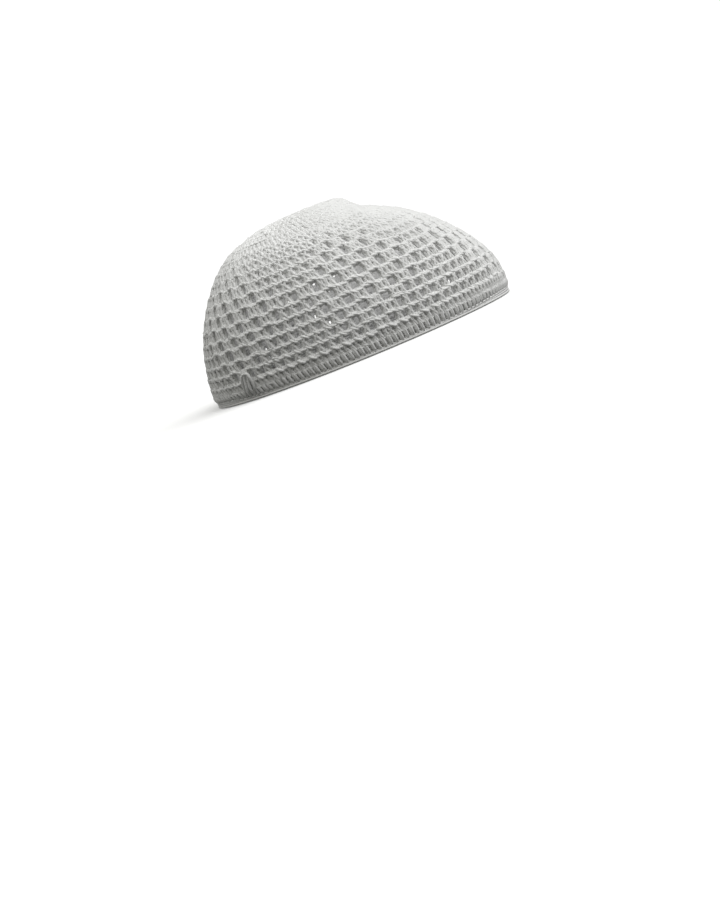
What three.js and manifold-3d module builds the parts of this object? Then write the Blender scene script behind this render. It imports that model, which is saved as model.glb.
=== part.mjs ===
// Chechia: a white cotton skullcap, crocheted in one piece from the crown outwards.
// Millimetres, +Z up, +X to the forehead, +Y to the wearer's left.
// The cap rests on its rim: the rim's flat edge lies at z = 0, with the origin at its middle.

import * as THREE from "three";
import { mergeVertices } from "three/addons/utils/BufferGeometryUtils.js";
import Module from "manifold-3d";

// Shape of the cap's outer face, a row for each round from the crown centre to the rim.
// share: part of the way down from crown centre to rim
// backX, backZ: the round where it crosses the middle plane at the nape
// frontX, frontZ: the same at the forehead
// sideY, sideZ: how far it reaches to each side, and how high it is there
// wall: thickness of the crochet
const SECTIONS = [
  { share: 0.0, backX: -10.0, backZ: 95.2, frontX: -10.0, frontZ: 95.2, sideY: 0.0, sideZ: 95.2, wall: 2.8 },
  { share: 0.08, backX: -21.9, backZ: 94.9, frontX: 2.9, frontZ: 95.3, sideY: 11.5, sideZ: 94.9, wall: 2.8 },
  { share: 0.16, backX: -33.7, backZ: 93.5, frontX: 15.7, frontZ: 94.1, sideY: 22.9, sideZ: 93.4, wall: 2.8 },
  { share: 0.25, backX: -46.6, backZ: 90.0, frontX: 28.5, frontZ: 87.5, sideY: 35.2, sideZ: 90.0, wall: 2.8 },
  { share: 0.33, backX: -57.7, backZ: 85.4, frontX: 39.7, frontZ: 81.2, sideY: 45.5, sideZ: 85.0, wall: 2.6 },
  { share: 0.43, backX: -69.5, backZ: 76.3, frontX: 54.0, frontZ: 73.7, sideY: 56.8, sideZ: 76.1, wall: 2.4 },
  { share: 0.54, backX: -79.9, backZ: 63.9, frontX: 68.3, frontZ: 63.3, sideY: 66.4, sideZ: 63.5, wall: 2.4 },
  { share: 0.65, backX: -88.4, backZ: 49.8, frontX: 80.8, frontZ: 50.8, sideY: 73.0, sideZ: 49.4, wall: 2.4 },
  { share: 0.75, backX: -94.1, backZ: 36.2, frontX: 90.6, frontZ: 38.1, sideY: 76.7, sideZ: 35.6, wall: 2.4 },
  { share: 0.81, backX: -96.5, backZ: 27.6, frontX: 95.3, frontZ: 29.7, sideY: 78.2, sideZ: 27.2, wall: 2.4 },
  { share: 0.86, backX: -98.2, backZ: 20.2, frontX: 98.0, frontZ: 22.4, sideY: 78.9, sideZ: 20.0, wall: 2.4 },
  { share: 0.91, backX: -99.2, backZ: 12.9, frontX: 99.6, frontZ: 14.3, sideY: 79.1, sideZ: 12.8, wall: 2.6 },
  { share: 0.955, backX: -99.7, backZ: 6.4, frontX: 99.7, frontZ: 7.0, sideY: 78.9, sideZ: 6.4, wall: 3.0 },
  { share: 1.0, backX: -98.2, backZ: 0.0, frontX: 98.2, frontZ: 0.0, sideY: 78.0, sideZ: 0.0, wall: 3.0 },
];

// The plan is an egg: this share narrower at the forehead and wider at the nape.
const EGG = 0.06;

// A fold crosses the front edge of the flat crown and dies out down the wearer's right side.
// startX, startY, endX, endY: its line in plan; rise: height of its ridge, less towards the rim
// width: from its line to the top of its ridge; fade: how far past its ends it dies out
const FOLD = { startX: 23, startY: 14, endX: 35, endY: -42, rise: 1.9, width: 4.5, fade: 14 };

// The net: cells are counted round from the middle of the forehead towards the wearer's right.
const REPEATS = 6;
const CELLS_PER_REPEAT = 13;
const CELLS = REPEATS * CELLS_PER_REPEAT;
const FIRST_LOZENGE_CELL = 17.5;

// The net is drawn wider over the wearer's right side and left side than over nape and forehead.
// middle: where on the round it is widest, in cells; most: how much wider at the crown, as a share
const SPREAD = { middle: 24, most: 0.12 };

// Between crown and rim the net is also pulled towards the forehead, alike on both sides.
// cells: the most that a cell moves; share: where it moves most; reach: how fast that dies out
// lobe: the largest value of sine times (1 + cosine) squared, which spreads it round the cap
const PULL = { cells: 1.4, share: 0.6, reach: 0.22, lobe: 2.06 };

// Five rounds of net, each with its wide windows between the closed blocks of a lozenge.
// top, bottom: share of the way down where the round starts and ends
// windows: how many wide windows one lozenge has in this round
const NET_ROUNDS = [
  { top: 0.514, bottom: 0.565, windows: 3 },
  { top: 0.565, bottom: 0.616, windows: 4 },
  { top: 0.616, bottom: 0.671, windows: 5 },
  { top: 0.671, bottom: 0.722, windows: 4 },
  { top: 0.722, bottom: 0.771, windows: 3 },
];
const CELLS_BETWEEN_WINDOWS = 2;
const WINDOW_WIDTH_IN_CELLS = 0.66;
const WINDOW_HEIGHT_IN_ROUND = 0.62;

// The faceted shell has a ring of corners at each of these shares and at each net round's edges,
// and a corner between every two cells, so that a window lies within one facet.
const CROWN_RINGS = [0.08, 0.16, 0.25, 0.33, 0.42, 0.514];
const RIM_RINGS = [0.84, 0.91, 0.955, 1.0];
const CUT_CLEARANCE = 2.0;

const COTTON_WHITE = 0xe9e9e4;

/** Value of one column of the table at a share of the way down, by a smooth curve through its rows. */
function column(name, share) {
  let row = SECTIONS.findIndex((section) => section.share > share) - 1;
  if (row < 0) {
    row = share < SECTIONS[0].share ? 0 : SECTIONS.length - 2;
  }
  const slopeAt = (index) => {
    const before = SECTIONS[Math.max(index - 1, 0)];
    const after = SECTIONS[Math.min(index + 1, SECTIONS.length - 1)];
    return (after[name] - before[name]) / (after.share - before.share);
  };
  const from = SECTIONS[row];
  const to = SECTIONS[row + 1];
  const step = to.share - from.share;
  const t = (share - from.share) / step;
  const t2 = t * t;
  const t3 = t2 * t;
  return (
    (2 * t3 - 3 * t2 + 1) * from[name] +
    (t3 - 2 * t2 + t) * step * slopeAt(row) +
    (3 * t2 - 2 * t3) * to[name] +
    (t3 - t2) * step * slopeAt(row + 1)
  );
}

/** Angle in the round's ellipse that lies a given share of its length round, both in radians. */
function ellipseAngle(share, turn) {
  const halfLength = (column("frontX", share) - column("backX", share)) / 2;
  const halfWidth = column("sideY", share);
  const stretch = halfLength + halfWidth > 0 ? (halfLength - halfWidth) / (halfLength + halfWidth) : 0;
  return turn + (stretch / 2) * Math.sin(2 * turn);
}

/** How far the fold lifts the cloth at a place in plan: a low ridge behind it and a hollow before it. */
function foldLift(x, y) {
  const alongX = FOLD.endX - FOLD.startX;
  const alongY = FOLD.endY - FOLD.startY;
  const length = Math.hypot(alongX, alongY);
  const along = ((x - FOLD.startX) * alongX + (y - FOLD.startY) * alongY) / length;
  const across = ((x - FOLD.startX) * -alongY + (y - FOLD.startY) * alongX) / length;
  const beyond = Math.max(0, -along, along - length) / FOLD.fade;
  const reach = across / FOLD.width;
  return -FOLD.rise * reach * Math.exp(0.5 - 0.5 * reach * reach - beyond * beyond);
}

/** Point of the outer face at a share of the way down and a turn from the forehead to the right. */
function outerPoint(share, turn) {
  const angle = ellipseAngle(share, turn);
  const cosine = Math.cos(angle);
  const sine = Math.sin(angle);
  const middleX = (column("frontX", share) + column("backX", share)) / 2;
  const middleZ = (column("frontZ", share) + column("backZ", share)) / 2;
  const reachX = (column("frontX", share) - column("backX", share)) / 2;
  const reachZ = (column("frontZ", share) - column("backZ", share)) / 2;
  const x = middleX + reachX * cosine;
  const y = -column("sideY", share) * sine * (1 - EGG * cosine);
  const z = middleZ + reachZ * cosine + (column("sideZ", share) - middleZ) * sine * sine;
  return new THREE.Vector3(x, y, z + foldLift(x, y) * (1 - share));
}

/** Direction straight out of the cloth; at the rim it is level, so that the rim's edge stays flat. */
function outward(share, turn) {
  const step = 0.01;
  const inner = Math.max(share, step);
  const down = outerPoint(Math.min(inner + step, 1), turn).sub(outerPoint(inner - step, turn));
  const round = outerPoint(inner, turn + step).sub(outerPoint(inner, turn - step));
  const normal = round.cross(down).normalize();
  if (share >= 1) {
    normal.z = 0;
    normal.normalize();
  }
  return normal;
}

/** Point at a depth into the cloth, measured from its outer face. */
function clothPoint(share, turn, depth) {
  return outerPoint(share, turn).addScaledVector(outward(share, turn), -depth);
}

/** Turn of a cell's place on a round, in radians from the forehead to the right. */
function cellTurn(cell, share) {
  const turn = (2 * Math.PI * cell) / CELLS;
  const middle = (2 * Math.PI * SPREAD.middle) / CELLS;
  const spread = (SPREAD.most / 2) * (1 - share);
  const most = (2 * Math.PI * PULL.cells) / CELLS;
  const level = Math.exp(-(((share - PULL.share) / PULL.reach) ** 2));
  const lobe = (Math.sin(turn) * (1 + Math.cos(turn)) ** 2) / PULL.lobe;
  return turn + spread * Math.sin(2 * (turn - middle)) - most * level * lobe;
}

/** Closed shell of the cap: an outer and an inner skin of the same rounds, joined by the flat rim. */
function capShell() {
  const positions = [];
  const faces = [];
  const rounds = [...CROWN_RINGS, ...NET_ROUNDS.map((round) => round.bottom), ...RIM_RINGS];
  const addSkin = (depthOf) => {
    const apex = positions.length / 3;
    positions.push(...clothPoint(0, 0, depthOf(0)).toArray());
    for (const share of rounds) {
      for (let cell = 0; cell < CELLS; cell += 1) {
        const turn = cellTurn(cell + FIRST_LOZENGE_CELL - 0.5, share);
        positions.push(...clothPoint(share, turn, depthOf(share)).toArray());
      }
    }
    return apex;
  };
  const outer = addSkin(() => 0);
  const inner = addSkin((share) => column("wall", share));
  const corner = (skin, round, cell) => skin + 1 + round * CELLS + (cell % CELLS);
  for (let cell = 0; cell < CELLS; cell += 1) {
    const next = cell + 1;
    faces.push(outer, corner(outer, 0, next), corner(outer, 0, cell));
    faces.push(inner, corner(inner, 0, cell), corner(inner, 0, next));
    for (let round = 0; round + 1 < rounds.length; round += 1) {
      const below = round + 1;
      faces.push(corner(outer, round, cell), corner(outer, round, next), corner(outer, below, cell));
      faces.push(corner(outer, round, next), corner(outer, below, next), corner(outer, below, cell));
      faces.push(corner(inner, round, cell), corner(inner, below, cell), corner(inner, round, next));
      faces.push(corner(inner, round, next), corner(inner, below, cell), corner(inner, below, next));
    }
    const rim = rounds.length - 1;
    faces.push(corner(outer, rim, cell), corner(outer, rim, next), corner(inner, rim, cell));
    faces.push(corner(outer, rim, next), corner(inner, rim, next), corner(inner, rim, cell));
  }
  return indexedGeometry(positions, faces);
}

/** Block that cuts one window of the net: a small quadrangle carried straight through the cloth. */
function windowCutter({ top, bottom }, centreCell) {
  const centreShare = (top + bottom) / 2;
  const halfCell = WINDOW_WIDTH_IN_CELLS / 2;
  const halfShare = (WINDOW_HEIGHT_IN_ROUND * (bottom - top)) / 2;
  const wall = column("wall", centreShare);
  const positions = [];
  for (const depth of [-CUT_CLEARANCE, wall + CUT_CLEARANCE]) {
    for (const [down, round] of [[-1, -1], [-1, 1], [1, 1], [1, -1]]) {
      const share = centreShare + down * halfShare;
      const turn = cellTurn(centreCell + round * halfCell, share);
      positions.push(...clothPoint(share, turn, depth).toArray());
    }
  }
  const faces = [
    0, 1, 3, 1, 2, 3,
    4, 7, 5, 5, 7, 6,
    0, 4, 1, 1, 4, 5,
    1, 5, 2, 2, 5, 6,
    2, 6, 3, 3, 6, 7,
    3, 7, 0, 0, 7, 4,
  ];
  return indexedGeometry(positions, faces);
}

/** Indexed geometry from a list of coordinates and a list of corners. */
function indexedGeometry(positions, faces) {
  const geometry = new THREE.BufferGeometry();
  geometry.setAttribute("position", new THREE.Float32BufferAttribute(positions, 3));
  geometry.setIndex(faces);
  return geometry;
}

const wasm = await Module();
wasm.setup();

/** Solid of a closed geometry, with its shared corners merged. */
function solidOf(geometry) {
  geometry.deleteAttribute("normal");
  geometry.deleteAttribute("uv");
  const merged = mergeVertices(geometry, 1e-4);
  return new wasm.Manifold(new wasm.Mesh({
    numProp: 3,
    vertProperties: new Float32Array(merged.attributes.position.array),
    triVerts: new Uint32Array(merged.index.array),
  }));
}

/** Geometry of a solid, ready for a mesh. */
function geometryOf(solid) {
  const mesh = solid.getMesh();
  const geometry = indexedGeometry(Array.from(mesh.vertProperties), Array.from(mesh.triVerts));
  geometry.computeVertexNormals();
  return geometry;
}

/** Middles of a round's wide windows, in cells: every second cell about each lozenge's middle. */
function windowCells({ windows }) {
  const cells = [];
  for (let repeat = 0; repeat < REPEATS; repeat += 1) {
    const lozengeMiddle = FIRST_LOZENGE_CELL + repeat * CELLS_PER_REPEAT;
    for (let index = 0; index < windows; index += 1) {
      cells.push(lozengeMiddle + CELLS_BETWEEN_WINDOWS * (index - (windows - 1) / 2));
    }
  }
  return cells;
}

/** The whole cap, with the wide windows of its lozenges cut through. */
function crochetCap() {
  let cap = solidOf(capShell());
  for (const round of NET_ROUNDS) {
    for (const cell of windowCells(round)) {
      cap = cap.subtract(solidOf(windowCutter(round, cell)));
    }
  }
  const cotton = new THREE.MeshStandardMaterial({ color: COTTON_WHITE, roughness: 0.9, metalness: 0 });
  const mesh = new THREE.Mesh(geometryOf(cap), cotton);
  mesh.name = "crochet_cap";
  return mesh;
}

const chechia = new THREE.Group();
chechia.add(crochetCap());

export default chechia;
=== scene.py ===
# %% [markdown]
# # A crocheted cotton skullcap
#
# The cap is one piece of crochet. It starts as a small ring in the middle of the crown and grows
# outwards, round by round: seven solid rounds make the flat crown, eleven rounds of open net make
# the wall, and a solid band ends in a plain edge. This lesson builds it the same way, stitch by
# stitch, on the form of a frame that is loaded first. Every stitch is a few strands of yarn, and
# every strand is a profile carried along a path, so that the light falls into real hollows.

# %% Load the frame
from collections import namedtuple

import bpy
import numpy as np
from mathutils import Matrix, Vector


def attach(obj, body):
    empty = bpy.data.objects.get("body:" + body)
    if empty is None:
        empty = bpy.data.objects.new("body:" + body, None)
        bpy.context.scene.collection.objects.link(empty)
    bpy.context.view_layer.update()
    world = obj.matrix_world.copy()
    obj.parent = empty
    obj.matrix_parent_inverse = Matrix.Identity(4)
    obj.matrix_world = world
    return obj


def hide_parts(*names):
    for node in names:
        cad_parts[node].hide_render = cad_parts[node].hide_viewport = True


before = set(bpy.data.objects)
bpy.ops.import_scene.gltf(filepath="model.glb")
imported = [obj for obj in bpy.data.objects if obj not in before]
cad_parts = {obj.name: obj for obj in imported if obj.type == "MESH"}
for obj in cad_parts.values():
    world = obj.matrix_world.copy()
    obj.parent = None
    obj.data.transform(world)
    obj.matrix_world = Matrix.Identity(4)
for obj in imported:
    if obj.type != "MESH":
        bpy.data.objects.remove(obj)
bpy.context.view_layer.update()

# %% [markdown]
# ## The camera
#
# The picture looks at the cap's right side from a little above the rim, with the front higher than
# the back. The cap lies flat here, so the tilt goes into the camera: it rolls about its own line of
# sight. A camera could be aimed by eye, but its place follows from four sizes, so they are written
# down and the three axes are worked out from them.

# %% Aim the camera
MM = 0.001
IMAGE_HEIGHT = 900
FOCAL_PIXELS = 1750.0
SENSOR_MM = 36.0
CAMERA_DISTANCE = 1.1
CAMERA_ELEVATION_DEGREES = 4.2
RIM_SLOPE_DEGREES = 21.975
RIM_MIDDLE_RIGHT_PIXELS = 4.1
RIM_MIDDLE_ABOVE_PIXELS = 100.85


def aim_camera():
    """Camera whose axes are the side view's, rolled by the rim's slope and turned a little so that
    the rim's middle, the origin, falls beside the picture's centre by the two pixel distances."""
    elevation, slope = np.radians(CAMERA_ELEVATION_DEGREES), np.radians(RIM_SLOPE_DEGREES)
    to_cap = np.array((0, np.cos(elevation), -np.sin(elevation)))
    level = np.array((1, 0, 0))
    upright = np.array((0, np.sin(elevation), np.cos(elevation)))
    right = np.cos(slope) * level - np.sin(slope) * upright
    up = np.sin(slope) * level + np.cos(slope) * upright
    across = RIM_MIDDLE_RIGHT_PIXELS / FOCAL_PIXELS
    above = RIM_MIDDLE_ABOVE_PIXELS / FOCAL_PIXELS
    ahead = to_cap - across * right - above * up
    ahead = ahead / np.linalg.norm(ahead)
    right = right - (right @ ahead) * ahead
    right = right / np.linalg.norm(right)
    up = np.cross(right, ahead)
    axes = Matrix(np.stack([right, up, -ahead], axis=1).tolist()).to_4x4()
    data = bpy.data.cameras.new("camera")
    data.sensor_width = SENSOR_MM
    data.lens = FOCAL_PIXELS * SENSOR_MM / IMAGE_HEIGHT
    camera = bpy.data.objects.new("camera", data)
    camera.matrix_world = Matrix.Translation((-CAMERA_DISTANCE * to_cap).tolist()) @ axes
    bpy.context.scene.collection.objects.link(camera)
    bpy.context.scene.camera = camera
    return camera


camera = aim_camera()
print("camera at", [round(v, 4) for v in camera.matrix_world.translation])

# %% [markdown]
# ## The form of the cap
#
# Crochet has no thickness of its own to model on, so the form comes first: a surface that every
# strand is laid along. It could be a sculpted mesh, but a function is better, because a stitch can
# then be drawn flat and laid anywhere. Each round of the cap is an egg-shaped loop that passes
# through four known points, and a short table says where those points are from crown to rim.

# %% The table of sections
# share of the way down; back x, z; front x, z; side y, z; thickness of the crochet, all in mm
SECTIONS = np.array([
    (0.000, -10.0, 95.2, -10.0, 95.2, 0.0, 95.2, 2.8),
    (0.080, -21.9, 94.9, 2.9, 95.3, 11.5, 94.9, 2.8),
    (0.160, -33.7, 93.5, 15.7, 94.1, 22.9, 93.4, 2.8),
    (0.250, -46.6, 90.0, 28.5, 87.5, 35.2, 90.0, 2.8),
    (0.330, -57.7, 85.4, 39.7, 81.2, 45.5, 85.0, 2.6),
    (0.430, -69.5, 76.3, 54.0, 73.7, 56.8, 76.1, 2.4),
    (0.540, -79.9, 63.9, 68.3, 63.3, 66.4, 63.5, 2.4),
    (0.650, -88.4, 49.8, 80.8, 50.8, 73.0, 49.4, 2.4),
    (0.750, -94.1, 36.2, 90.6, 38.1, 76.7, 35.6, 2.4),
    (0.810, -96.5, 27.6, 95.3, 29.7, 78.2, 27.2, 2.4),
    (0.860, -98.2, 20.2, 98.0, 22.4, 78.9, 20.0, 2.4),
    (0.910, -99.2, 12.9, 99.6, 14.3, 79.1, 12.8, 2.6),
    (0.955, -99.7, 6.4, 99.7, 7.0, 78.9, 6.4, 3.0),
    (1.000, -98.2, 0.0, 98.2, 0.0, 78.0, 0.0, 3.0),
])
SHARE, BACK_X, BACK_Z, FRONT_X, FRONT_Z, SIDE_Y, SIDE_Z, WALL = range(8)


def column(name, share):
    """One column of the table at any share: a cubic through the rows whose slope at each row is
    that of the line through the rows on both sides of it."""
    places, values = SECTIONS[:, SHARE], SECTIONS[:, name]
    before = np.r_[0, np.arange(len(places) - 1)]
    after = np.r_[np.arange(1, len(places)), len(places) - 1]
    slopes = (values[after] - values[before]) / (places[after] - places[before])
    row = np.clip(np.searchsorted(places, share, side="right") - 1, 0, len(places) - 2)
    step = places[row + 1] - places[row]
    t = (share - places[row]) / step
    keep = 2 * t**3 - 3 * t**2 + 1
    return (keep * values[row] + (1 - keep) * values[row + 1]
            + (t**3 - 2 * t**2 + t) * step * slopes[row] + (t**3 - t**2) * step * slopes[row + 1])


print("half the cap's width half-way down, in mm:", round(float(column(SIDE_Y, 0.5)), 1))

# %% [markdown]
# ## The fold
#
# One soft fold runs across the front of the flat crown: a low ridge with a hollow beside it. It
# could be pushed into a mesh with a brush, but it is only a wave that dies out, so a formula gives
# it, and every strand that is laid there later follows it by itself.

# %% The fold in the crown
FOLD_START = np.array((23.0, 14.0))
FOLD_END = np.array((35.0, -42.0))
FOLD_RISE = 1.9
FOLD_WIDTH = 4.5
FOLD_FADE = 14.0


def fold_lift(x, y):
    """Height that the fold adds at a place in plan: across its line the slope of a bell curve, a
    ridge on the crown's side and a hollow before it, dying out past the line's two ends."""
    line = FOLD_END - FOLD_START
    length = np.hypot(*line)
    along = ((x - FOLD_START[0]) * line[0] + (y - FOLD_START[1]) * line[1]) / length
    across = ((x - FOLD_START[0]) * -line[1] + (y - FOLD_START[1]) * line[0]) / length
    beyond = np.maximum(0, np.maximum(-along, along - length)) / FOLD_FADE
    reach = across / FOLD_WIDTH
    return -FOLD_RISE * reach * np.exp(0.5 - 0.5 * reach**2 - beyond**2)


print("length of the fold, in mm:", round(float(np.hypot(*(FOLD_END - FOLD_START))), 1))

# %% [markdown]
# ## The outer face
#
# Seen from above the cap is a little egg-shaped, broader towards the back. An ellipse whose width
# changes with the cosine gives that. Equal steps of its angle would crowd the stitches at front and
# back, so a small sine is added to the angle, and equal turns then give equal lengths of the loop.

# %% A point of the outer face
EGG = 0.06
TINY = 1e-9


def outer_face(share, turn):
    """Point of the cap's outer face in mm. The turn runs from the front to the cap's right side;
    sin(2 turn) times half the loop's stretch makes equal turns equal lengths of the loop. x and z
    run from front to back with the cosine, y with the sine, and z meets its side value there."""
    half_length = (column(FRONT_X, share) - column(BACK_X, share)) / 2
    half_width = column(SIDE_Y, share)
    stretch = (half_length - half_width) / (half_length + half_width + TINY)
    angle = turn + stretch / 2 * np.sin(2 * turn)
    cosine, sine = np.cos(angle), np.sin(angle)
    middle_z = (column(FRONT_Z, share) + column(BACK_Z, share)) / 2
    x = (column(FRONT_X, share) + column(BACK_X, share)) / 2 + half_length * cosine
    y = -half_width * sine * (1 - EGG * cosine)
    z = middle_z + (column(FRONT_Z, share) - column(BACK_Z, share)) / 2 * cosine
    z = z + (column(SIDE_Z, share) - middle_z) * sine**2 + fold_lift(x, y) * (1 - share)
    return np.stack([x, y, z], axis=-1)


crown_top = outer_face(np.array(0.0), np.array(0.0))
print("middle of the crown, in mm:", crown_top.round(1))

# %% [markdown]
# ## Laying yarn on the form
#
# A stitch is drawn in the cloth's own terms: which round, how far round it, how many millimetres
# to the side and how many out of the cloth. One function turns those into places, together with
# the three directions that a strand's profile is turned by. The net is a little wider at the sides
# than at front and back, and one sine takes care of that. It is also pulled forwards between crown
# and rim, on both sides, because that part of it is stretched when the cap is in use.

# %% Places in the cloth
CELLS = 78
SPREAD_MIDDLE = 24 / CELLS
SPREAD_MOST = 0.12
PULL_CELLS = 1.4
PULL_SHARE = 0.60
PULL_REACH = 0.22
PULL_TOP = 2.06
SMALLEST_SHARE = 0.004
YARN_SINK_MM = 0.5
MERIDIAN_MM = 149.0


def round_length(share):
    """Length in mm of the loop at a share of the way down, from its two half axes."""
    half_length = (column(FRONT_X, share) - column(BACK_X, share)) / 2
    return 2 * np.pi * np.sqrt((half_length**2 + column(SIDE_Y, share)**2) / 2)


def unit(vectors):
    """The same directions with length one."""
    return vectors / np.maximum(np.linalg.norm(vectors, axis=-1, keepdims=True), TINY)


def cloth_turn(share, around):
    """Turn from the front for a part of the round. A sine of twice the turn spreads the cells at
    the sides; sin(turn) times (1 + cos(turn)) squared, whose top is about PULL_TOP, pulls them
    forwards, by a bell curve of the share."""
    turn = 2 * np.pi * around
    spread = SPREAD_MOST / 2 * (1 - share) * np.sin(2 * (turn - 2 * np.pi * SPREAD_MIDDLE))
    down = np.exp(-((share - PULL_SHARE) / PULL_REACH)**2)
    pull = down * np.sin(turn) * (1 + np.cos(turn))**2 / PULL_TOP
    return turn + spread - PULL_CELLS / CELLS * 2 * np.pi * pull


def in_cloth(share, around, side=0.0, out=0.0):
    """Places in the crochet, in mm, with the directions round it, down it and out of it.
    around is a part of the whole round; side is added to it in mm; out is counted from the middle
    of the cloth, which lies half a wall's thickness and the yarn's sink inside the outer face."""
    share = np.maximum(share, SMALLEST_SHARE)
    turn = cloth_turn(share, around + side / round_length(share))
    step = 0.5 * SMALLEST_SHARE
    down = unit(outer_face(share + step, turn) - outer_face(share - step, turn))
    sideways = unit(outer_face(share, turn + step) - outer_face(share, turn - step))
    outward = unit(np.cross(sideways, down))
    inset = out - column(WALL, share) / 2 - YARN_SINK_MM
    return outer_face(share, turn) + outward * inset[..., None], sideways, down, outward


print("length of the rim, in mm:", round(float(round_length(1.0))))

# %% [markdown]
# ## Tension
#
# The same stitch looks different where the cloth is pulled. At the crown's edge, at the front and
# at the back the cap is tight, so the chains lie flat and the hollows between the posts are
# shallow; lower down on the sides it is slack. Each place could have stitches of its own, but a few
# smooth functions of the place keep one stitch for all and change it gradually. The strands on the
# inside are also thicker on the left: the windows of both sides would otherwise line up here and
# there, and the backdrop would show through the empty cap.

# %% Tension over the cap
TIGHT_TO = 0.365
SLACK_FROM = 0.62
LEAST_RELIEF = 0.5
FRONT_TIGHTNESS = 0.4
BACK_TIGHTNESS = 0.35
TOP_LIFT_MM = 0.8
FRONT_LIFT_MM = 0.5
LEFT_FULLNESS = 0.7


def towards_front(around):
    """One at the cap's front and none from the sides on: the turn's cosine where it is positive."""
    return np.maximum(0, np.cos(2 * np.pi * around))


def towards_left(around):
    """One on the cap's left and none on its right: minus the turn's sine where that is positive."""
    return np.maximum(0, -np.sin(2 * np.pi * around))


def slackness(share):
    """None down to TIGHT_TO, one from SLACK_FROM on, and a straight line between."""
    return np.clip((share - TIGHT_TO) / (SLACK_FROM - TIGHT_TO), 0, 1)


def relief(share, around):
    """How boldly a chain stands out: from LEAST_RELIEF to one with the slackness, and less by the
    cosine of the turn at the front and by its fourth power at the back."""
    back = np.maximum(0, -np.cos(2 * np.pi * around))**4
    tightness = FRONT_TIGHTNESS * towards_front(around) + BACK_TIGHTNESS * back
    return (LEAST_RELIEF + (1 - LEAST_RELIEF) * slackness(share)) * (1 - tightness)


def lift_inside(share, around):
    """How far out the strands on the inside are drawn, in mm: a part that goes with the tightness
    down the cap, and a part at the front."""
    return TOP_LIFT_MM * (1 - slackness(share)) + FRONT_LIFT_MM * towards_front(around)


def fullness(around):
    """How thick the strands on the inside are: more on the left, by the sine of the turn."""
    return 1 + LEFT_FULLNESS * towards_left(around)


for place_name, place_around in (("front", 0.0), ("side", 0.25), ("back", 0.5)):
    print(f"relief low at the {place_name}:", round(float(relief(SLACK_FROM, place_around)), 2))

# %% [markdown]
# ## Strands
#
# A strand of yarn could be a curve with a bevel, but thousands of curves are slow and can't be
# shaped as one array. So each strand is a tube of five sides: a ring of corners at each point of
# its path, all rings of all strands worked out at once, and a flat face on each end to close it.
# Each corner also gets a place on the strand's own map, its length along the yarn in millimetres
# and its turn round it, which the cotton's twist follows later.

# %% Tubes along many paths
SIDES = 5


def tube_arrays(paths, reference, radius):
    """Corners, quads, end faces and map of closed tubes. paths is strands x points x 3; reference
    is a direction at each point that never runs along the path; radius is per point. A ring's
    corner is the path's point plus radius times the cosine and sine of its turn along the two
    directions square to the path."""
    ahead = unit(np.gradient(paths, axis=1))
    first = unit(np.cross(reference, ahead))
    second = np.cross(ahead, first)
    turns = 2 * np.pi * np.arange(SIDES) / SIDES
    spoke = first[:, :, None] * np.cos(turns)[:, None] + second[:, :, None] * np.sin(turns)[:, None]
    corners = paths[:, :, None] + spoke * radius[:, :, None, None]
    strands, points = paths.shape[:2]
    index = np.arange(strands * points * SIDES).reshape(strands, points, SIDES)
    nearer, further = index[:, :-1], index[:, 1:]
    quads = np.stack([nearer, np.roll(nearer, -1, 2), np.roll(further, -1, 2), further], -1)
    ends = np.stack([index[:, 0, ::-1], index[:, -1]], 1)
    steps = np.linalg.norm(np.diff(paths, axis=1), axis=-1)
    length = np.concatenate([np.zeros((strands, 1)), np.cumsum(steps, 1)], 1)
    along = np.stack([length[:, :-1], length[:, :-1], length[:, 1:], length[:, 1:]], -1)
    along = np.broadcast_to(along[:, :, None], quads.shape)
    side = np.arange(SIDES) / SIDES
    round_it = np.stack([side, side + 1 / SIDES, side + 1 / SIDES, side], -1)
    quad_map = np.stack([along, np.broadcast_to(round_it, quads.shape)], -1)
    return (corners.reshape(-1, 3), quads.reshape(-1, 4), ends.reshape(-1, SIDES),
            quad_map.reshape(-1, 2))


straight = np.array([[(0.0, 0.0, 0.0), (0.0, 1.0, 0.0)]])
sample = tube_arrays(straight, np.array([[(0.0, 0.0, 1.0)] * 2]), np.full((1, 2), 1.0))
print("a strand of two points has", len(sample[0]), "corners and", len(sample[1]), "sides")

# %% [markdown]
# ## From arrays to a mesh
#
# Blender can build a mesh from a list of faces, but hundreds of thousands of them are filled in
# much faster as flat arrays: all corners, then which corner each face uses, then where each face
# starts. The faces are shaded smooth, so five sides are enough for a round strand.

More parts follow.
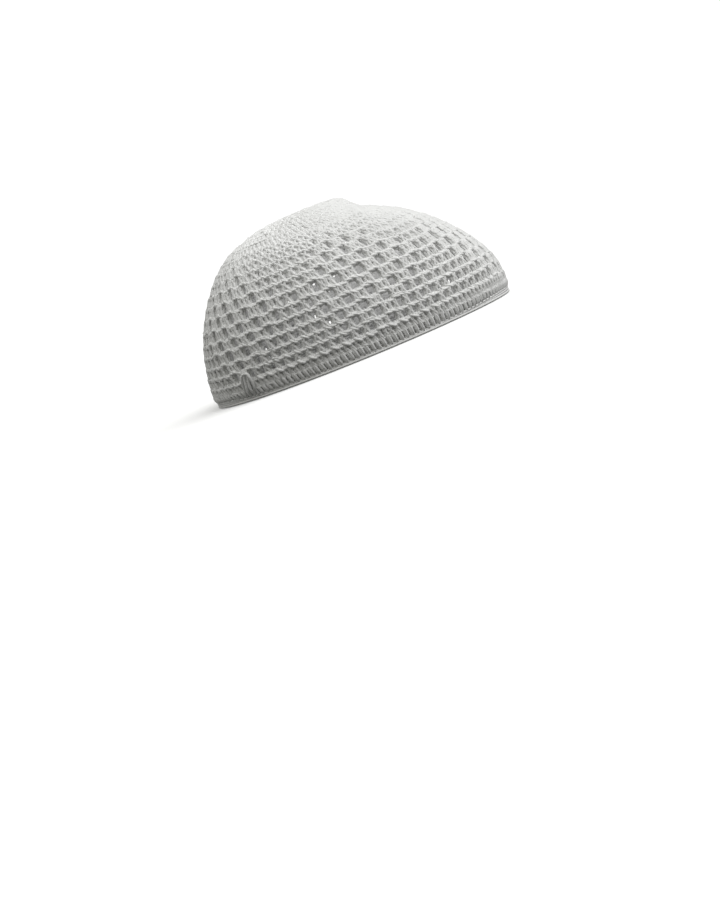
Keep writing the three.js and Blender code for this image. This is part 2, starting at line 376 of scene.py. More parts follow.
# %% A mesh from the tubes
def yarn_mesh(name, parts):
    """One mesh object, in metres and at the origin, from several sets of tubes."""
    corners, quads, ends, maps, start = [], [], [], [], 0
    for part_corners, part_quads, part_ends, part_map in parts:
        corners.append(part_corners * MM)
        quads.append(part_quads + start)
        ends.append(part_ends + start)
        maps.append(part_map)
        start += len(part_corners)
    corners, quads, ends = np.vstack(corners), np.vstack(quads), np.vstack(ends)
    loops = np.r_[quads.ravel(), ends.ravel()]
    starts = np.r_[4 * np.arange(len(quads)), 4 * len(quads) + SIDES * np.arange(len(ends))]
    uv = np.vstack(maps + [np.zeros((ends.size, 2))])
    mesh = bpy.data.meshes.new(name)
    mesh.vertices.add(len(corners))
    mesh.vertices.foreach_set("co", corners.ravel())
    mesh.loops.add(len(loops))
    mesh.loops.foreach_set("vertex_index", loops)
    mesh.polygons.add(len(starts))
    mesh.polygons.foreach_set("loop_start", starts)
    mesh.polygons.foreach_set("use_smooth", np.ones(len(starts), bool))
    mesh.uv_layers.new(name="strand").uv.foreach_set("vector", uv.ravel())
    mesh.update(calc_edges=True)
    piece = bpy.data.objects.new(name, mesh)
    bpy.context.scene.collection.objects.link(piece)
    triangles = 2 * len(quads) + (SIDES - 2) * len(ends)
    print(f"{name}: {len(ends) // 2} strands, {triangles} triangles")
    return piece


print("an end face of a strand counts as", SIDES - 2, "triangles")

# %% [markdown]
# ## One tall stitch
#
# The cap is made of one stitch, the tall double crochet. Its yarn comes up through the loop above,
# runs down the post, is wound once across the front, and ends in the loop of its own round. Five
# strands show that: two on the outside that change places, the winding across them, and two on the
# inside that stand further apart and close the post from behind. Each is a short list of places on
# the post: to the side in mm, down it as a part of its height, and out of the cloth in mm. A smooth
# curve through them gives the path.

# %% The strands of a post
YARN_RADIUS = 0.96
OUTER_LEFT = np.array([
    (-0.75, -0.10, -0.50), (-0.70, 0.06, 0.10), (-0.66, 0.22, 0.45), (-0.25, 0.40, 0.35),
    (0.45, 0.60, 0.10), (0.66, 0.82, 0.05), (0.85, 1.02, -0.10)])
OUTER_RIGHT = np.array([
    (0.75, -0.10, -0.55), (0.70, 0.06, 0.05), (0.66, 0.22, 0.30), (0.45, 0.37, 0.20),
    (-0.35, 0.58, 0.25), (-0.64, 0.80, 0.15), (-0.85, 1.02, -0.10)])
WINDING = np.array([
    (-0.75, 0.62, -0.60), (-0.64, 0.56, 0.10), (0.00, 0.46, 0.65), (0.64, 0.34, 0.10),
    (0.75, 0.28, -0.60)])
INNER_LEFT = np.array([
    (-1.00, -0.05, -1.10), (-1.15, 0.25, -1.35), (-0.80, 0.60, -1.40), (-1.25, 1.05, -1.10)])
INNER_RIGHT = np.array([
    (1.25, -0.05, -1.10), (0.80, 0.40, -1.40), (1.15, 0.75, -1.35), (1.00, 1.05, -1.10)])
# places; points of the path; direction that its profile is turned by; thickness; on the inside
POST_STRANDS = (
    (OUTER_LEFT, 9, "side", 1.0, False),
    (OUTER_RIGHT, 9, "side", 1.0, False),
    (WINDING, 6, "down", 0.75, False),
    (INNER_LEFT, 5, "side", 1.12, True),
    (INNER_RIGHT, 5, "side", 1.12, True))
INNER_WIDTH = 1.35


def smooth_path(places, points):
    """A curve through the places, as many points long as asked: at each stretch the cubic whose
    slope at a place is half the way from the place before it to the place after it."""
    last = len(places) - 1
    t = np.linspace(0, last, points)
    row = np.minimum(t.astype(int), last - 1)
    t = (t - row)[:, None]
    before, here = places[np.maximum(row - 1, 0)], places[row]
    there, after = places[row + 1], places[np.minimum(row + 2, last)]
    slope_here, slope_there = (there - before) / 2, (after - here) / 2
    return ((2 * t**3 - 3 * t**2 + 1) * here + (t**3 - 2 * t**2 + t) * slope_here
            + (3 * t**2 - 2 * t**3) * there + (t**3 - t**2) * slope_there)


def posts(top_share, bottom_share, around, lean, width, radius, out):
    """Tubes of many posts at once, a post for each entry of around. A place down the post is that
    part of the way between the two shares. A place to the side is stretched by width and moved by
    lean, in mm, over the post's height, and out moves the post off the cloth. The strands on the
    inside are at least INNER_WIDTH wide, thicker on the left and lifted where the cloth is tight."""
    parts = []
    for places, points, towards, thickness, inside in POST_STRANDS:
        path = smooth_path(places, points)
        wide, thick, lift = width, thickness * radius, 0 * around
        if inside:
            wide = np.maximum(width, INNER_WIDTH)
            thick = thickness * fullness(around) * radius
            lift = lift_inside(top_share, around)
        share = top_share[:, None] + (bottom_share - top_share)[:, None] * path[:, 1]
        side = wide[:, None] * path[:, 0] + lean[:, None] * (path[:, 1] - 0.5)
        off = path[:, 2] + (out + lift)[:, None]
        centre, sideways, down, outward = in_cloth(share, around[:, None], side, off)
        reference = sideways if towards == "side" else down
        parts.append(tube_arrays(centre, reference, np.broadcast_to(thick[:, None], share.shape)))
    return parts


print("strands in a post:", len(POST_STRANDS))

# %% [markdown]
# ## Small unevenness
#
# Handwork is never quite even. Each round's edge wanders a little, each post leans its own way, and
# the tension changes. All of it comes from one seeded source, so every run gives the same cap. The
# wandering has to close on itself round the cap, so it is a sum of whole waves and not a noise.

# %% Seeded unevenness
SEED = 1926
random = np.random.default_rng(SEED)
WANDER_MM = 0.22
WAVES = np.array((2, 3, 5, 9))
IN_PLACE, IN_LEAN, IN_WIDTH, IN_YARN, IN_HEIGHT = range(5)


def uneven(count, spread):
    """A small random number for each of many stitches."""
    return random.normal(0, spread, count)


def uneven_posts(top_share, bottom_share, around, lean, width, out, spreads):
    """Tubes of posts whose lean, width, yarn and height off the cloth vary by four of the spreads."""
    count = len(around)
    return posts(
        top_share, bottom_share, around,
        lean + uneven(count, spreads[IN_LEAN]), width * (1.0 + uneven(count, spreads[IN_WIDTH])),
        YARN_RADIUS * (1.0 + uneven(count, spreads[IN_YARN])), out + uneven(count, spreads[IN_HEIGHT]))


def wandering_line(share, left_drop_mm=0.0):
    """A round's edge as a function of the part of the round: the given share, four waves round the
    cap with random phases and sizes, and a drop on the left by the squared sine of the turn."""
    phases = random.uniform(0, 2 * np.pi, len(WAVES))
    sizes = random.normal(0, WANDER_MM, len(WAVES)) / np.sqrt(WAVES) / MERIDIAN_MM

    def line(around):
        turns = 2 * np.pi * around[..., None] * WAVES
        drop = left_drop_mm * towards_left(around)**2 / MERIDIAN_MM
        return share + ((sizes * np.sin(turns + phases)).sum(-1) + drop)
    return line


def steady(value):
    """A function of the part of the round that is the same all round."""
    return lambda around: value + 0 * around


print("seed of the unevenness:", SEED)

# %% [markdown]
# ## The chain along a round's edge
#
# Every round ends in a chain that looks like a plait: two legs to a stitch, one on the outside and
# one on the inside, each slanting into the next. The next round hangs on it. Over an open window
# the chain sags between two posts, and over a closed block the stitches of the block pull it up
# and out, which gives the bright scallops. So the chain follows a function of the cell. Behind it
# lies the rest of the real chain's yarn, which two plain strands all the way round stand for.

# %% The legs of a chain
OUTER_LEG = np.array([
    (-0.25, 0.85, 0.00), (0.15, 0.72, 0.70), (0.50, 0.40, 0.98), (0.85, 0.00, 0.75),
    (1.25, -0.45, 0.00)])
INNER_LEG = np.array([
    (-0.25, -0.50, -0.30), (0.15, -0.80, -0.05), (0.50, -0.80, 0.20), (0.85, -0.60, 0.40),
    (1.25, -0.25, 0.25)])
LEG_POINTS = 7
LEG_UNEVEN_MM = 0.12
CHAIN_RADIUS = 0.84
POINTS_PER_CELL = 4
WHOLE_ROUND = np.linspace(0, 1, POINTS_PER_CELL * CELLS + 1)
RIPPLE_MM = 0.06


def chain(share_at, stitches, radius, scale, out_at, bold=0.0):
    """Tubes of one round's chain. share_at and out_at give the chain's height and its distance out
    of the cloth at each part of the round; a leg's places are in stitches along it, mm down the cap
    and mm out, the last two times scale. bold makes every second outer leg stand out further, and
    half as much thicker."""
    parts = []
    strong = 1 + bold * (np.arange(stitches)[:, None] % 2)
    for places, strength in ((OUTER_LEG, strong), (INNER_LEG, np.ones((stitches, 1)))):
        path = smooth_path(places, LEG_POINTS)
        around = (np.arange(stitches)[:, None] + path[:, 0]) / stitches
        down_mm = path[:, 1] * scale + uneven(stitches, LEG_UNEVEN_MM)[:, None]
        share = share_at(around) + down_mm / MERIDIAN_MM
        out = path[:, 2] * scale * strength + uneven(stitches, LEG_UNEVEN_MM)[:, None]
        centre, sideways, down, outward = in_cloth(share, around, 0.0, out + out_at(around))
        thickness = radius * (1 + (strength - 1) / 2) + 0 * around
        parts.append(tube_arrays(centre, outward, thickness))
    return parts


def round_strand(share, out, radius):
    """One strand all the way round the cap, with a faint ripple at each cell. The share, the
    distance out and the radius may each be one number, or one for each point of WHOLE_ROUND."""
    ripple = RIPPLE_MM * np.sin(2 * np.pi * CELLS * WHOLE_ROUND)
    around = WHOLE_ROUND[None]
    level = np.broadcast_to(share, around.shape)
    centre, sideways, down, outward = in_cloth(level, around, 0.0, (out + ripple)[None])
    return tube_arrays(centre, outward, np.broadcast_to(radius, around.shape))


print("points of a strand that goes all the way round:", len(WHOLE_ROUND))

# %% [markdown]
# ## The chart of the net
#
# The net is charted as filet crochet is: each round has 78 cells, and a cell is either an open
# window or a closed block with one more post in it. Six lozenges stand side by side. Their rounds
# have one block at the top, two below it with a window between, and so on to six, and back to one.

# %% Which cells are closed
BLOCKS_IN_ROUND = (1, 2, 3, 4, 5, 6, 5, 4, 3, 2, 1)
LOZENGES = 6
CELLS_PER_LOZENGE = CELLS // LOZENGES
FIRST_LOZENGE = 17


def closed_cells(blocks):
    """For each cell of a round, whether it is closed: every second cell about a lozenge's middle."""
    closed = np.zeros(CELLS, bool)
    for lozenge in range(LOZENGES):
        middle = FIRST_LOZENGE + lozenge * CELLS_PER_LOZENGE
        cells = middle - (blocks - 1) + 2 * np.arange(blocks)
        closed[cells % CELLS] = True
    return closed


CHART = [closed_cells(blocks) for blocks in BLOCKS_IN_ROUND]
for closed in CHART:
    print("".join("#" if cell else "." for cell in closed[:2 * CELLS_PER_LOZENGE]))

# %% [markdown]
# ## Edges between rounds
#
# The edge between two rounds belongs to both: the upper round's chain lies on it and the lower
# round's posts hang from it. Its height is the table's share, plus the wandering, plus the sag or
# the scallop of the cell that is looked at. On the left some edges also lie a few millimetres
# lower, for the same reason as the thicker strands there.

# %% The height of each edge
NET_EDGES = np.array((
    0.365, 0.414, 0.463, 0.514, 0.565, 0.616, 0.671, 0.722, 0.771, 0.818, 0.863, 0.908))
LEFT_DROP_MM = (0.0, 0.0, 0.0, 0.0, 0.0, 0.0, 0.4, 1.5, 2.6, 3.2, 2.1, 0.0)
SAG_MM = 1.2
SCALLOP_MM = 0.6
SCALLOP_OUT_MM = 0.4
Edge = namedtuple("Edge", "line height bulge")


def net_edge(number):
    """The edge above net round number, as three functions of the part of the round: the line that
    the posts meet; the height, which leaves that line between two posts by a sine, down where the
    cell above is open and up where it is closed, and less at the front; and the bulge of the
    closed cells, in mm out."""
    line = wandering_line(NET_EDGES[number], LEFT_DROP_MM[number])
    closed_above = CHART[number - 1] if number else np.zeros(CELLS, bool)

    def in_cell(around):
        cell = around * CELLS
        which = np.floor(cell).astype(int) % CELLS
        return closed_above[which], np.sin(np.pi * (cell - np.floor(cell)))

    def height(around):
        closed, wave = in_cell(around)
        slack = 1 - FRONT_TIGHTNESS * towards_front(around)
        shift = np.where(closed, -SCALLOP_MM, SAG_MM) * wave * slack
        return line(around) + shift / MERIDIAN_MM

    def bulge(around):
        closed, wave = in_cell(around)
        return np.where(closed, SCALLOP_OUT_MM * wave, 0.0)
    return Edge(line, height, bulge)


EDGES = [net_edge(number) for number in range(len(NET_EDGES))]
print("edges down the back, as shares:", [round(float(e.line(np.array(0.5))), 3) for e in EDGES])

# %% [markdown]
# ## The crown
#
# Seven solid rounds, with fourteen more stitches in each than in the one before, so that the crown
# lies flat. The stitches lean: each foot lies further back round the cap than its head.

# %% Work the crown
CROWN_ROUNDS = 7
STITCHES_PER_CROWN_ROUND = 14
CROWN_LEAN_MM = -2.2
CROWN_RELIEF = 0.75
# of a stitch's place in stitches, lean in mm, width, yarn, and height off the cloth in mm
CROWN_SPREADS = (0.05, 0.25, 0.05, 0.04, 0.14)


def crown_parts():
    """Tubes of the crown: for each round its posts, then its chain. The last round's chain belongs
    to the net."""
    parts = []
    for number in range(1, CROWN_ROUNDS + 1):
        stitches = STITCHES_PER_CROWN_ROUND * number
        top = NET_EDGES[0] * (number - 1) / CROWN_ROUNDS
        bottom = NET_EDGES[0] * number / CROWN_ROUNDS
        line = wandering_line(bottom) if number < CROWN_ROUNDS else EDGES[0].line
        around = (np.arange(stitches) + 0.5 + uneven(stitches, CROWN_SPREADS[IN_PLACE])) / stitches
        parts += uneven_posts(
            np.full(stitches, top), line(around), around, CROWN_LEAN_MM, 1.0, 0.0, CROWN_SPREADS)
        if number < CROWN_ROUNDS:
            parts += chain(line, stitches, CHAIN_RADIUS, CROWN_RELIEF, steady(0.0))
    return parts


crown = yarn_mesh("crown_rounds", crown_parts())

# %% [markdown]
# ## The posts of the net
#
# A post hangs on each side of every cell, and a closed cell gets one more in its middle. The posts
# beside a block are drawn towards it and narrower, so the windows next to blocks are wide. At the
# top of the net all posts are wider and the windows small, and at the front the posts are narrow,
# because the stretch there pulls the windows open.

# %% The posts of a net round
POST_LEAN_MM = -0.7
POST_OUT_MM = 0.10
DRAW_IN_CELLS = 0.07
MIDDLE_WIDTH = 0.95
BESIDE_WIDTHS = (1.76, 1.37)
PLAIN_WIDTHS = (2.025, 1.70)
FRONT_NARROWING = 0.12
NET_SPREADS = (0.045, 0.3, 0.06, 0.05, 0.1)


def net_posts(number):
    """Tubes of the posts of one net round. Their widths pass from the first of a pair to the second
    with the slackness, and are less at the front by the cosine of the turn."""
    closed = CHART[number]
    draw = DRAW_IN_CELLS * (closed.astype(float) - np.roll(closed, 1).astype(float))
    middles = np.flatnonzero(closed) + 0.5
    cells = np.r_[np.arange(CELLS) + draw, middles]
    around = (cells + uneven(len(cells), NET_SPREADS[IN_PLACE])) / CELLS
    slack = slackness(NET_EDGES[number])
    plain, beside = (top + (low - top) * slack for top, low in (PLAIN_WIDTHS, BESIDE_WIDTHS))
    beside_block = closed | np.roll(closed, 1)
    width = np.r_[np.where(beside_block, beside, plain), np.full(len(middles), MIDDLE_WIDTH)]
    width = width * (1 - FRONT_NARROWING * towards_front(around))
    top_share, bottom_share = EDGES[number].line(around), EDGES[number + 1].line(around)
    return uneven_posts(
        top_share, bottom_share, around, POST_LEAN_MM, width, POST_OUT_MM, NET_SPREADS)


print("posts in each net round:", [CELLS + int(closed.sum()) for closed in CHART])

# %% [markdown]
# ## The net wall
#
# Each round is its posts, the chain below them and two strands behind the chain. The last chain of
# the net is bolder on the sides than the others: there every second leg stands out, except at the
# band's closing join, which lies over it. The wall could be one mesh, but it is split into four, so
# that no piece grows too large to handle.

# %% Work the net
INNER_ROWS = ((-0.80, -1.20), (0.70, -1.20))
INNER_ROW_RADIUS = 1.15
LAST_CHAIN_BOLD = 0.5
SIDE_FROM = 0.3
SIDE_TO = 0.9
JOIN_CELL = 30.4
NET_PIECES = ((0, 1, 2), (3, 4, 5), (6, 7, 8), (9, 10))


def on_side(around):
    """How far a place is on either side of the cap: a smooth step of the size of the turn's sine."""
    t = np.clip((np.abs(np.sin(2 * np.pi * around)) - SIDE_FROM) / (SIDE_TO - SIDE_FROM), 0, 1)
    return 3 * t**2 - 2 * t**3


def net_round_parts(number):
    """Tubes of one net round, which hangs on edge number and ends on the edge below it."""
    parts = net_posts(number)
    edge = EDGES[number + 1]
    stitch = np.arange(2 * CELLS)[:, None] / (2 * CELLS)
    bold = 0.0
    if number == len(CHART) - 1:
        off_join = np.abs(stitch * CELLS - JOIN_CELL) >= 1
        bold = LAST_CHAIN_BOLD * on_side(stitch) * off_join
    scale = relief(NET_EDGES[number + 1], stitch)
    parts += chain(edge.height, 2 * CELLS, CHAIN_RADIUS, scale, edge.bulge, bold)
    thick = INNER_ROW_RADIUS * fullness(WHOLE_ROUND)
    lift = lift_inside(NET_EDGES[number + 1], WHOLE_ROUND)
    for down_mm, out_mm in INNER_ROWS:
        share = edge.height(WHOLE_ROUND) + down_mm / MERIDIAN_MM
        parts.append(round_strand(share, out_mm + lift, thick))
    return parts


net_pieces = []
for piece_number, rounds in enumerate(NET_PIECES, start=1):
    tubes = []
    for number in rounds:
        tubes += net_round_parts(number)
    if piece_number == 1:
        tubes += chain(EDGES[0].height, 2 * CELLS, CHAIN_RADIUS, LEAST_RELIEF, EDGES[0].bulge)
    net_pieces.append(yarn_mesh(f"net_rounds_{piece_number}", tubes))

# %% [markdown]
# ## The rim band
#
# Under the net comes a round of tall stitches, two to a cell, with a gap for the closing join, then
# a chain and a round of short slanted stitches. The band is solid, so six plain strands behind it
# close the chinks between the stitches. On the sides the short stitches reach further down, nearly
# to the rim.

# %% Work the rim band
BAND_EDGE = 0.951
BAND_STITCHES = 2 * CELLS
BAND_LEAN_MM = -1.8
BAND_WIDTH = 1.15
BAND_OUT_MM = 0.1
BAND_SPREADS = (0.05, 0.35, 0.15 / BAND_WIDTH, 0.06, 0.14)
BAND_CHAIN_RISE = 0.003
BAND_CHAIN_RADIUS = 0.75
BAND_CHAIN_RELIEF = 0.8
BAND_CHAIN_OUT_MM = -0.3
BAND_INNER_ROWS = (0.917, 0.932, 0.946, 0.960, 0.973, 0.985)
BAND_INNER_OUT_MM = -0.95
JOIN_HALF_WIDTH_MM = 4.1
SHORT_EDGE = 0.974
SHORT_LONGER = 0.0125
SHORT_LEAN_MM = 1.9
SHORT_SPREAD = 0.06
SHORT_POINTS = 6
SHORT_LEFT = np.array([
    (-0.35, -0.50, -0.40), (-0.40, 0.00, 0.60), (-0.10, 0.50, 0.65), (0.30, 1.00, 0.15)])
SHORT_RIGHT = np.array([
    (0.55, -0.45, -0.50), (0.60, 0.05, 0.30), (0.70, 0.55, 0.40), (0.80, 1.05, 0.05)])


def short_stitches():
    """Tubes of the round of short stitches: two slanted strands for each, longer at the sides."""
    parts = []
    for places in (SHORT_LEFT, SHORT_RIGHT):
        path = smooth_path(places, SHORT_POINTS)
        around = np.arange(BAND_STITCHES) + 0.5 + uneven(BAND_STITCHES, SHORT_SPREAD)
        around = (around / BAND_STITCHES)[:, None]
        foot = SHORT_EDGE + SHORT_LONGER * on_side(around)
        share = BAND_EDGE + (foot - BAND_EDGE) * path[:, 1]
        side = path[:, 0] + SHORT_LEAN_MM * (0.5 - path[:, 1]) + 0 * around
        centre, sideways, down, outward = in_cloth(share, around, side, path[:, 2] + 0 * around)
        parts.append(tube_arrays(centre, sideways, np.full(share.shape, YARN_RADIUS)))
    return parts


def band_parts():
    """Tubes of the band: tall posts, their chain, the strands behind, the short stitches."""
    around = np.arange(BAND_STITCHES) + uneven(BAND_STITCHES, BAND_SPREADS[IN_PLACE])
    around = around / BAND_STITCHES
    from_join_mm = np.abs(around - JOIN_CELL / CELLS) * round_length(np.array(BAND_EDGE))
    around = around[from_join_mm > JOIN_HALF_WIDTH_MM]
    parts = uneven_posts(
        EDGES[-1].line(around), np.full(len(around), BAND_EDGE), around,
        BAND_LEAN_MM, BAND_WIDTH, BAND_OUT_MM, BAND_SPREADS)
    parts += chain(steady(BAND_EDGE - BAND_CHAIN_RISE), BAND_STITCHES, BAND_CHAIN_RADIUS,
                   BAND_CHAIN_RELIEF, steady(BAND_CHAIN_OUT_MM))
    for share in BAND_INNER_ROWS:
        parts.append(round_strand(share, BAND_INNER_OUT_MM, YARN_RADIUS))
    return parts + short_stitches()


band = yarn_mesh("rim_band", band_parts())

# %% [markdown]
# ## The closing join
#
# A round of crochet ends where it began, and the band's end is drawn through its first stitches. On
# the right, towards the back, that leaves a small arch of yarn with two upright strands inside it.
# It is drawn as three paths of its own, because no other stitch of the cap looks like it.

# %% Work the closing join
JOIN_POINTS = 15
JOIN_TOP = 0.879
JOIN_FOOT = 0.972
JOIN_OUT_MM = 2.5
JOIN_FOOT_IN_MM = 1.6
JOIN_LEAN_MM = -2.2
UPRIGHT_SIDE_MM = 1.45
UPRIGHT_SWAY_MM = 0.15
UPRIGHT_TOP = 0.889
UPRIGHT_OUT_MM = 2.1
UPRIGHT_FOOT_IN_MM = 1.9


def arch_path():
    """Side, share and distance out of the arch: half a superellipse of the third power, whose two
    legs go into the band at their feet by the eighth power of the cosine."""
    angle = np.linspace(0, np.pi, JOIN_POINTS)
    rise = np.abs(np.sin(angle))**(2 / 3)
    side = -JOIN_HALF_WIDTH_MM * np.sign(np.cos(angle)) * np.abs(np.cos(angle))**(2 / 3)
    share = JOIN_FOOT + (JOIN_TOP - JOIN_FOOT) * rise
    return side + JOIN_LEAN_MM * rise, share, JOIN_OUT_MM - JOIN_FOOT_IN_MM * np.cos(angle)**8


def upright_path(side_mm):
    """Side, share and distance out of an upright strand, which sways by one sine on its way down
    and goes into the band at its foot by the sixth power."""
    t = np.linspace(0, 1, JOIN_POINTS)
    side = side_mm + JOIN_LEAN_MM * (1 - t) + UPRIGHT_SWAY_MM * np.sin(2 * np.pi * t + side_mm)
    share = UPRIGHT_TOP + (JOIN_FOOT - UPRIGHT_TOP) * t
    return side, share, UPRIGHT_OUT_MM - UPRIGHT_FOOT_IN_MM * t**6


def closing_join():
    """Tubes of the join's three strands."""
    parts = []
    paths = (arch_path(), upright_path(-UPRIGHT_SIDE_MM), upright_path(UPRIGHT_SIDE_MM))
    for side, share, out in paths:
        around = np.full((1, JOIN_POINTS), JOIN_CELL / CELLS)
        centre, sideways, down, outward = in_cloth(share[None], around, side[None], out[None])
        parts.append(tube_arrays(centre, outward, np.full((1, JOIN_POINTS), YARN_RADIUS)))
    return parts


join = yarn_mesh("closing_join", closing_join())

# %% [markdown]
# ## The plain edge
#
# The rim ends in three strands laid side by side, one below the other. At front and back they are
# seen in full; on the sides they turn under the long short stitches, and only the last one is left
# to see. Each strand passes smoothly from one place to the other.

# %% Lay the edge
# share, distance out in mm and radius in mm; then share and distance out on the sides
EDGE_STRANDS = ((0.9782, 0.45, 0.70), (0.9865, 0.65, 0.70), (0.9946, 1.00, 0.78))
EDGE_AT_SIDES = ((0.9885, 0.30), (0.9905, -0.70), (0.9946, 0.85))


def plain_edge():
    """Tubes of the edge's strands, each between its two places by how far it is on the side."""
    parts = []
    way = on_side(WHOLE_ROUND)
    for (share, out, radius), (side_share, side_out) in zip(EDGE_STRANDS, EDGE_AT_SIDES):
        parts.append(round_strand(
            share + (side_share - share) * way, out + (side_out - out) * way, radius))
    return parts


edge = yarn_mesh("rim_edge", plain_edge())

# %% [markdown]
# ## Cotton
#
# Soft white cotton yarn: rough, with a faint sheen from loose fibres, and three plies twisted
# together. A picture of yarn could be laid on, but a formula is sharper and has no seams: the twist
# is a wave that runs along the strand's own map and round it, so it winds round the yarn. A fine
# noise adds fibres, and a large faint one the unevenness of a washed cap.

# %% The yarn's material
COTTON = (0.88, 0.88, 0.875, 1.0)
COTTON_SHADED = (0.80, 0.80, 0.79, 1.0)
YARN_SURFACE = {
    "Roughness": 0.85, "Sheen Weight": 0.35, "Sheen Roughness": 0.5, "Specular IOR Level": 0.25}
PLIES = 3
PLY_LENGTH_MM = 2.4
TWIST_HEIGHT = 0.5
FIBRE_SCALE = 2600.0
FIBRE_DETAIL = 2.0
CLOUD_SCALE = 45.0
CLOUD_DETAIL = 3.0
BUMP_STRENGTH = 0.35
BUMP_METRES = 0.00018


def add_math(nodes, operation, factor=None):
    """A math node, with its second value set where one is given."""
    node = nodes.new("ShaderNodeMath")
    node.operation = operation
    if factor is not None:
        node.inputs[1].default_value = factor
    return node


def add_noise(nodes, links, place, scale, detail):
    """A noise that is fixed to the object's own coordinates."""
    node = nodes.new("ShaderNodeTexNoise")
    node.inputs["Scale"].default_value = scale
    node.inputs["Detail"].default_value = detail
    links.new(place.outputs["Object"], node.inputs["Vector"])
    return node


def cotton_yarn():
    """Material whose bump is TWIST_HEIGHT times the sine of 2 pi times (plies times the turn round
    the strand plus its length over a ply's), plus the fibres' noise."""
    material = bpy.data.materials.new("cotton_yarn")
    material.use_nodes = True
    nodes, links = material.node_tree.nodes, material.node_tree.links
    shader = nodes["Principled BSDF"]
    for setting, value in YARN_SURFACE.items():
        shader.inputs[setting].default_value = value
    place = nodes.new("ShaderNodeTexCoord")
    strand = nodes.new("ShaderNodeUVMap")
    strand.uv_map = "strand"
    parts = nodes.new("ShaderNodeSeparateXYZ")
    links.new(strand.outputs["UV"], parts.inputs[0])
    length = add_math(nodes, "MULTIPLY", 2 * np.pi / PLY_LENGTH_MM)
    links.new(parts.outputs["X"], length.inputs[0])
    phase = add_math(nodes, "MULTIPLY_ADD", 2 * np.pi * PLIES)
    links.new(parts.outputs["Y"], phase.inputs[0])
    links.new(length.outputs[0], phase.inputs[2])
    twist = add_math(nodes, "SINE")
    links.new(phase.outputs[0], twist.inputs[0])
    fibres = add_noise(nodes, links, place, FIBRE_SCALE, FIBRE_DETAIL)
    height = add_math(nodes, "MULTIPLY_ADD", TWIST_HEIGHT)
    links.new(twist.outputs[0], height.inputs[0])
    links.new(fibres.outputs["Fac"], height.inputs[2])
    bump = nodes.new("ShaderNodeBump")
    bump.inputs["Strength"].default_value = BUMP_STRENGTH
    bump.inputs["Distance"].default_value = BUMP_METRES
    links.new(height.outputs[0], bump.inputs["Height"])
    links.new(bump.outputs["Normal"], shader.inputs["Normal"])
    clouds = add_noise(nodes, links, place, CLOUD_SCALE, CLOUD_DETAIL)
    tint = nodes.new("ShaderNodeMix")
    tint.data_type = "RGBA"
    tint.inputs["A"].default_value = COTTON_SHADED
    tint.inputs["B"].default_value = COTTON
    links.new(clouds.outputs["Fac"], tint.inputs["Factor"])
    links.new(tint.outputs["Result"], shader.inputs["Base Color"])
    return material


cotton = cotton_yarn()
yarn_pieces = [crown, *net_pieces, band, join, edge]
for piece in yarn_pieces:
    piece.data.materials.append(cotton)
    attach(piece, "root")
    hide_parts("crochet_cap")
print("pieces of yarn:", [piece.name for piece in yarn_pieces])

# %% [markdown]
# ## Floor and backdrop
#
# The cap lies on plain white card that meets a white backdrop, and only its own soft shadow darkens
# the card. White card would also throw so much light back at the cap that its low parts lost their
# shading. So the white floor is for the camera alone, and a hidden grey table just under it gives
# the light that comes back. A small hidden pad under the cap lights its inside a little.

# %% Set the floor and the backdrop
FLOOR_RADIUS = 9.0
FLOOR_CORNERS = 96
FLOOR_ALBEDO = 0.93
FLOOR_GLOW = 0.20
TABLE_ALBEDO = 0.17
TABLE_Z = -0.002
PAD_RADIUS = 0.05
PAD_CORNERS = 48
PAD_GLOW = 0.25
PAD_Z = -0.001
BACKDROP_SEGMENTS = 64
BACKDROP_RINGS = 32
BACKDROP_GLOW = 1.1


def stage_material(name, albedo, glow):
    """A plain matt grey or white material, which may also give a little light."""
    material = bpy.data.materials.new(name)
    material.use_nodes = True
    shader = material.node_tree.nodes["Principled BSDF"]
    shader.inputs["Base Color"].default_value = (albedo, albedo, albedo, 1)
    shader.inputs["Roughness"].default_value = 1.0
    shader.inputs["Specular IOR Level"].default_value = 0.0
    shader.inputs["Emission Color"].default_value = (1, 1, 1, 1)
    shader.inputs["Emission Strength"].default_value = glow
    return material


def stage_disc(name, radius, z, corners, material):
    """A flat round sheet of the stage."""
    bpy.ops.mesh.primitive_circle_add(
        vertices=corners, radius=radius, fill_type="NGON", location=(0, 0, z))
    disc = bpy.context.object
    disc.name = name
    disc.data.materials.append(material)
    return disc


floor_white = stage_material("floor_white", FLOOR_ALBEDO, FLOOR_GLOW)
floor = stage_disc("floor", FLOOR_RADIUS, 0.0, FLOOR_CORNERS, floor_white)
floor.visible_diffuse = False
table_grey = stage_material("table_grey", TABLE_ALBEDO, 0.0)
table = stage_disc("grey_table", FLOOR_RADIUS, TABLE_Z, FLOOR_CORNERS, table_grey)
table.visible_camera = False
pad_glow = stage_material("pad_glow", TABLE_ALBEDO, PAD_GLOW)
pad = stage_disc("light_pad", PAD_RADIUS, PAD_Z, PAD_CORNERS, pad_glow)
pad.visible_camera = False

bpy.ops.mesh.primitive_uv_sphere_add(
    segments=BACKDROP_SEGMENTS, ring_count=BACKDROP_RINGS, radius=FLOOR_RADIUS)
backdrop = bpy.context.object
backdrop.name = "backdrop"
backdrop.data.materials.append(stage_material("backdrop_white", 0.0, BACKDROP_GLOW))
for ray_kind in ("diffuse", "glossy", "transmission", "volume_scatter", "shadow"):
    setattr(backdrop, f"visible_{ray_kind}", False)
print("pieces of the stage:", [piece.name for piece in (floor, table, pad, backdrop)])

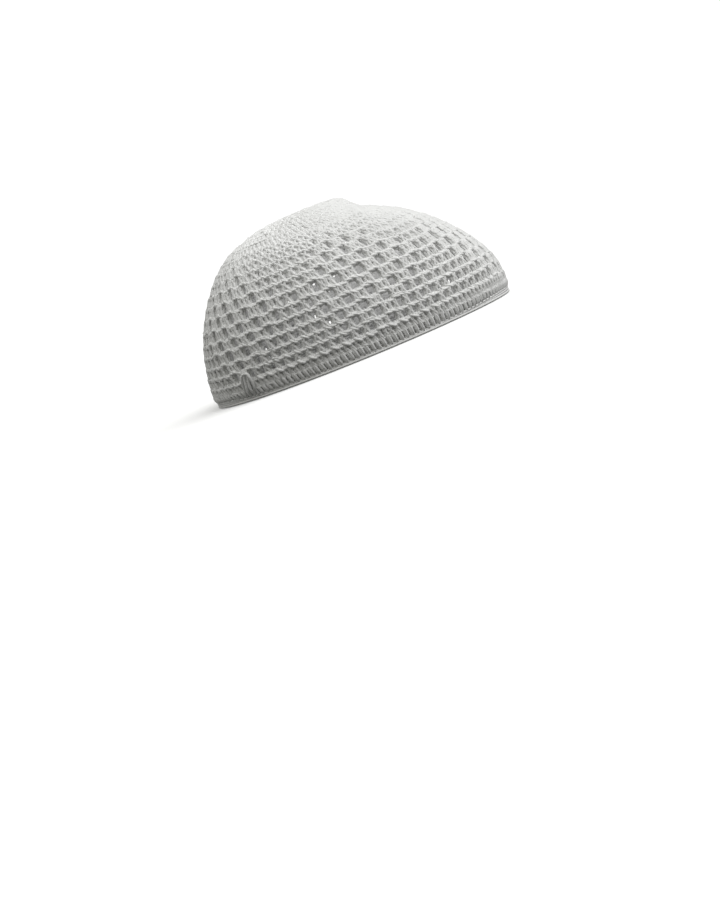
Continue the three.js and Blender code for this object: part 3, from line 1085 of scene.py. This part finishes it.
# %% [markdown]
# ## Light
#
# A white cap on white needs light that falls mostly from one side. A large soft lamp stands high
# and towards the front, and a weaker one towards the back keeps that side from going dull. They
# could be panels, but distant discs light the floor evenly out to the horizon. The dim surroundings
# fill the shade. A very weak lamp inside lights the far wall, so that the windows aren't black.
# The two outside lamps are a trace blue and the surroundings a trace yellow, as indoors by day.

# %% Light the cap
LAMP_COLOUR = (0.985, 0.99, 1.0)
LAMP_DIRECTION = (0.67, -0.20, 0.76)
LAMP_ANGLE_DEGREES = 75.0
LAMP_STRENGTH = 2.5
BACK_LAMP_DIRECTION = (-0.60, 0.12, 0.79)
BACK_LAMP_ANGLE_DEGREES = 70.0
BACK_LAMP_STRENGTH = 0.70
INNER_LAMP_PLACE = (0.015, -0.015, 0.034)
INNER_LAMP_AIM = (0.30, 0.60, 0.74)
INNER_LAMP_WIDTH = 0.06
INNER_LAMP_WATTS = 0.026
AMBIENT = 0.28
AMBIENT_COLOUR = (1.0, 1.0, 0.92, 1)


def soft_lamp(name, direction, angle_degrees, strength):
    """A large far lamp that shines from the direction towards the cap."""
    data = bpy.data.lights.new(name, "SUN")
    data.angle = np.radians(angle_degrees)
    data.energy = strength
    data.color = LAMP_COLOUR
    lamp = bpy.data.objects.new(name, data)
    lamp.location = direction
    lamp.rotation_euler = Vector(direction).to_track_quat("Z", "Y").to_euler()
    bpy.context.scene.collection.objects.link(lamp)
    return lamp


def inner_lamp():
    """A small round lamp inside the cap, aimed at the upper part of the far wall."""
    data = bpy.data.lights.new("inner_lamp", "AREA")
    data.shape = "DISK"
    data.size = INNER_LAMP_WIDTH
    data.energy = INNER_LAMP_WATTS
    lamp = bpy.data.objects.new("inner_lamp", data)
    lamp.location = INNER_LAMP_PLACE
    lamp.rotation_euler = Vector(INNER_LAMP_AIM).to_track_quat("-Z", "Y").to_euler()
    lamp.visible_camera = False
    bpy.context.scene.collection.objects.link(lamp)
    return lamp


lamps = [
    soft_lamp("front_lamp", LAMP_DIRECTION, LAMP_ANGLE_DEGREES, LAMP_STRENGTH),
    soft_lamp("back_lamp", BACK_LAMP_DIRECTION, BACK_LAMP_ANGLE_DEGREES, BACK_LAMP_STRENGTH),
    inner_lamp()]
world = bpy.data.worlds.new("surroundings")
world.use_nodes = True
world.node_tree.nodes["Background"].inputs["Color"].default_value = AMBIENT_COLOUR
world.node_tree.nodes["Background"].inputs["Strength"].default_value = AMBIENT
bpy.context.scene.world = world
bpy.context.scene.view_settings.view_transform = "Standard"
print("lamps:", [lamp.name for lamp in lamps])
